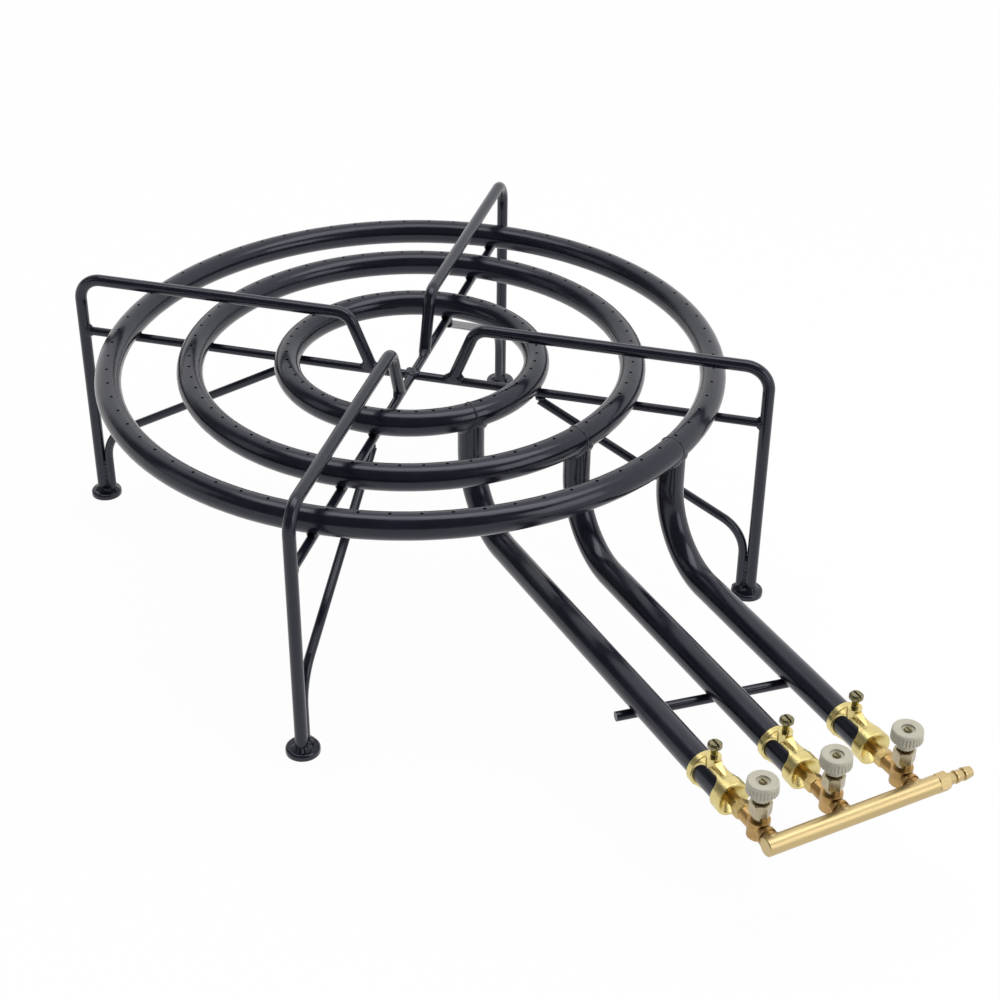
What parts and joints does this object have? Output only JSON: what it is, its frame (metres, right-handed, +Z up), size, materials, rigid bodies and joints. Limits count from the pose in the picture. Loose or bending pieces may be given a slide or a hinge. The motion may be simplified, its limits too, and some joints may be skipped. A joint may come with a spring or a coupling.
{
  "type": "paella burner",
  "caption": "Gas burner of concentric rings on a welded rod stand with pan supports; each ring has a feed pipe, sliding air mixer and needle tap, fed by a brass bar with a hose tail.",
  "frame": {"origin": "on the floor, under the common centre of the three rings", "axes": "+Z up; the four legs stand on +X, +Y, -X and -Y; the feed pipes leave between +X and -Y, 48 degrees from +X"},
  "size_m": [0.6382, 0.5767, 0.1786],
  "materials": {
    "black_paint": "semi-gloss black stove paint",
    "mixer_brass": "bright cast brass",
    "screw_steel": "zinc-plated steel",
    "jet_brass": "dull turned brass",
    "tap_bronze": "forged brass with a copper tone",
    "gland_nickel": "nickel plate",
    "packing_rubber": "black rubber",
    "stem_brass": "turned brass",
    "knob_plastic": "moulded warm grey plastic",
    "manifold_brass": "satin drawn brass"
  },
  "bodies": {
    "frame": {"ring_inner": "black_paint", "ring_middle": "black_paint", "ring_outer": "black_paint", "feed_pipe_inner": "black_paint", "feed_pipe_middle": "black_paint", "feed_pipe_outer": "black_paint", "leg_hoop_right": "black_paint", "leg_hoop_rear": "black_paint", "leg_hoop_left": "black_paint", "leg_hoop_front": "black_paint", "leg_brace_right": "black_paint", "leg_brace_rear": "black_paint", "leg_brace_left": "black_paint", "leg_brace_front": "black_paint", "foot_right": "black_paint", "foot_rear": "black_paint", "foot_left": "black_paint", "foot_front": "black_paint", "cross_bar_front_rear": "black_paint", "cross_bar_right": "black_paint", "cross_bar_left": "black_paint", "pipe_tie_bar": "black_paint"},
    "gas_train": {"air_mixer_inner": "mixer_brass", "air_mixer_middle": "mixer_brass", "air_mixer_outer": "mixer_brass", "gas_jet_inner": "jet_brass", "gas_jet_middle": "jet_brass", "gas_jet_outer": "jet_brass", "tap_body_inner": "tap_bronze", "tap_body_middle": "tap_bronze", "tap_body_outer": "tap_bronze", "gland_nut_inner": "gland_nickel", "gland_nut_middle": "gland_nickel", "gland_nut_outer": "gland_nickel", "stem_packings": "packing_rubber", "manifold_bar": "manifold_brass", "hose_tail": "manifold_brass"},
    "tap_inner": {"tap_stem_inner": "stem_brass", "control_knob_inner": "knob_plastic", "knob_screw_inner": "screw_steel"},
    "tap_middle": {"tap_stem_middle": "stem_brass", "control_knob_middle": "knob_plastic", "knob_screw_middle": "screw_steel"},
    "tap_outer": {"tap_stem_outer": "stem_brass", "control_knob_outer": "knob_plastic", "knob_screw_outer": "screw_steel"},
    "clamp_inner": {"clamp_screw_inner": "screw_steel"},
    "clamp_middle": {"clamp_screw_middle": "screw_steel"},
    "clamp_outer": {"clamp_screw_outer": "screw_steel"}
  },
  "joints": [
    {"name": "air_slide", "type": "slide", "parent": "frame", "child": "gas_train", "axis": [0.6691, -0.7431, 0], "range_m": [0, 0.012]},
    {"name": "tap_turn_inner", "type": "hinge", "parent": "gas_train", "child": "tap_inner", "pos_m": [0.2839, -0.31156, 0.073], "axis": [0, 0, 1], "range_deg": [0, 540]},
    {"name": "tap_turn_middle", "type": "hinge", "parent": "gas_train", "child": "tap_middle", "pos_m": [0.31845, -0.28045, 0.073], "axis": [0, 0, 1], "range_deg": [0, 540]},
    {"name": "tap_turn_outer", "type": "hinge", "parent": "gas_train", "child": "tap_outer", "pos_m": [0.35301, -0.24933, 0.073], "axis": [0, 0, 1], "range_deg": [0, 540]},
    {"name": "clamp_turn_inner", "type": "hinge", "parent": "gas_train", "child": "clamp_inner", "pos_m": [0.25379, -0.27812, 0.073], "axis": [0, 0, 1], "range_deg": [0, 720]},
    {"name": "clamp_turn_middle", "type": "hinge", "parent": "gas_train", "child": "clamp_middle", "pos_m": [0.28834, -0.24701, 0.073], "axis": [0, 0, 1], "range_deg": [0, 720]},
    {"name": "clamp_turn_outer", "type": "hinge", "parent": "gas_train", "child": "clamp_outer", "pos_m": [0.3229, -0.21589, 0.073], "axis": [0, 0, 1], "range_deg": [0, 720]}
  ]
}
